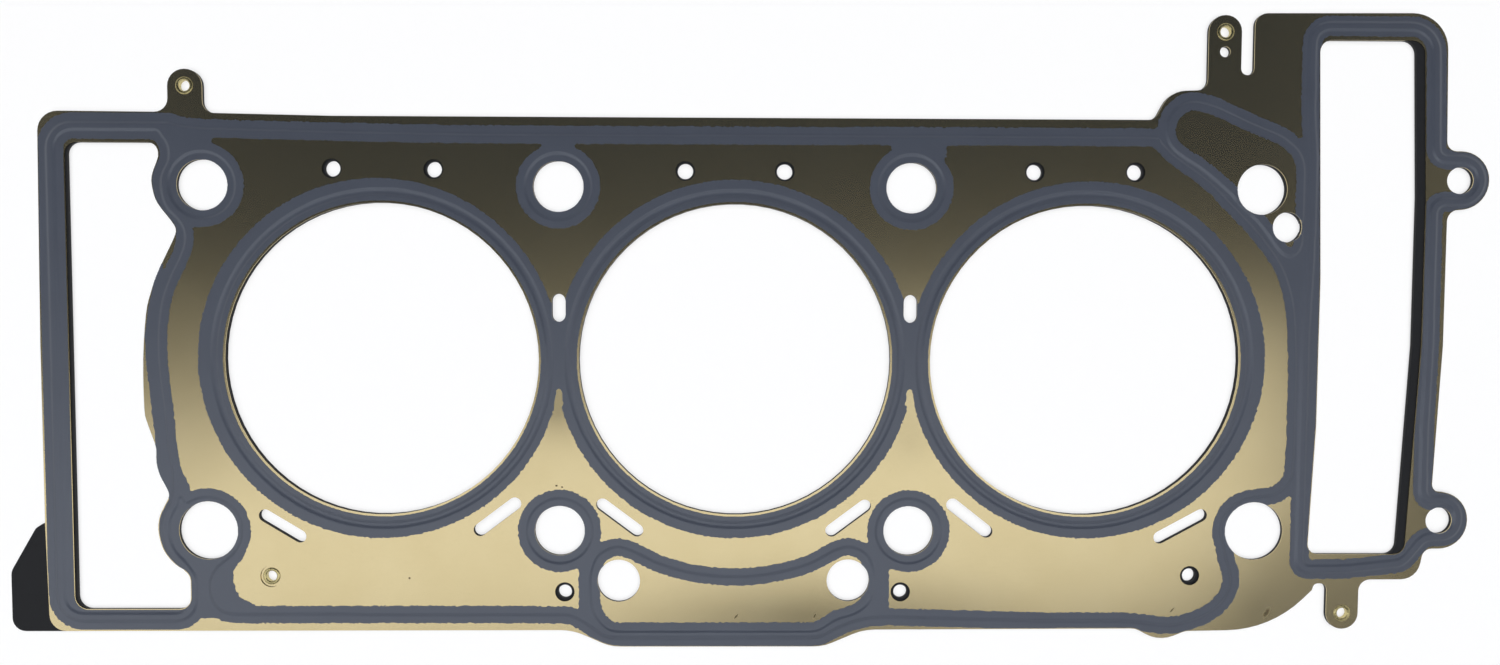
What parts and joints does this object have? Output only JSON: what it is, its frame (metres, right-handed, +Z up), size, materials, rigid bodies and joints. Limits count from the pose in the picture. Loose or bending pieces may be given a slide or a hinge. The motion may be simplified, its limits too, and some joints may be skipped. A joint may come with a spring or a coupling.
{
  "type": "cylinder head gasket",
  "caption": "Riveted multi-layer steel cylinder head gasket with embossed sealing beads, a printed rubber coat, chain windows, side lugs and rivet tabs.",
  "frame": {"origin": "on the axis of the middle bore, half way through the carrier sheet", "axes": "+X along the row of bores towards the wide end, +Z up out of the embossed upper sheet"},
  "size_m": [0.4468, 0.1926, 0.0019],
  "materials": {
    "spring_steel": "bare rolled spring steel with a warm cast",
    "printed_coat": "thin matt slate-grey sealing coat",
    "black_sheet": "black coated carrier sheet",
    "coated_sheet": "spring steel coated dark all over",
    "rivet": "yellow passivated hollow rivet"
  },
  "bodies": {
    "root": {"upper_sheet": "spring_steel", "upper_coat": "printed_coat", "carrier_sheet": "black_sheet", "lower_sheet": "coated_sheet", "rivet_top_left": "rivet", "rivet_top_right": "rivet", "rivet_lower_left": "rivet", "rivet_lower_right": "rivet"}
  },
  "joints": []
}
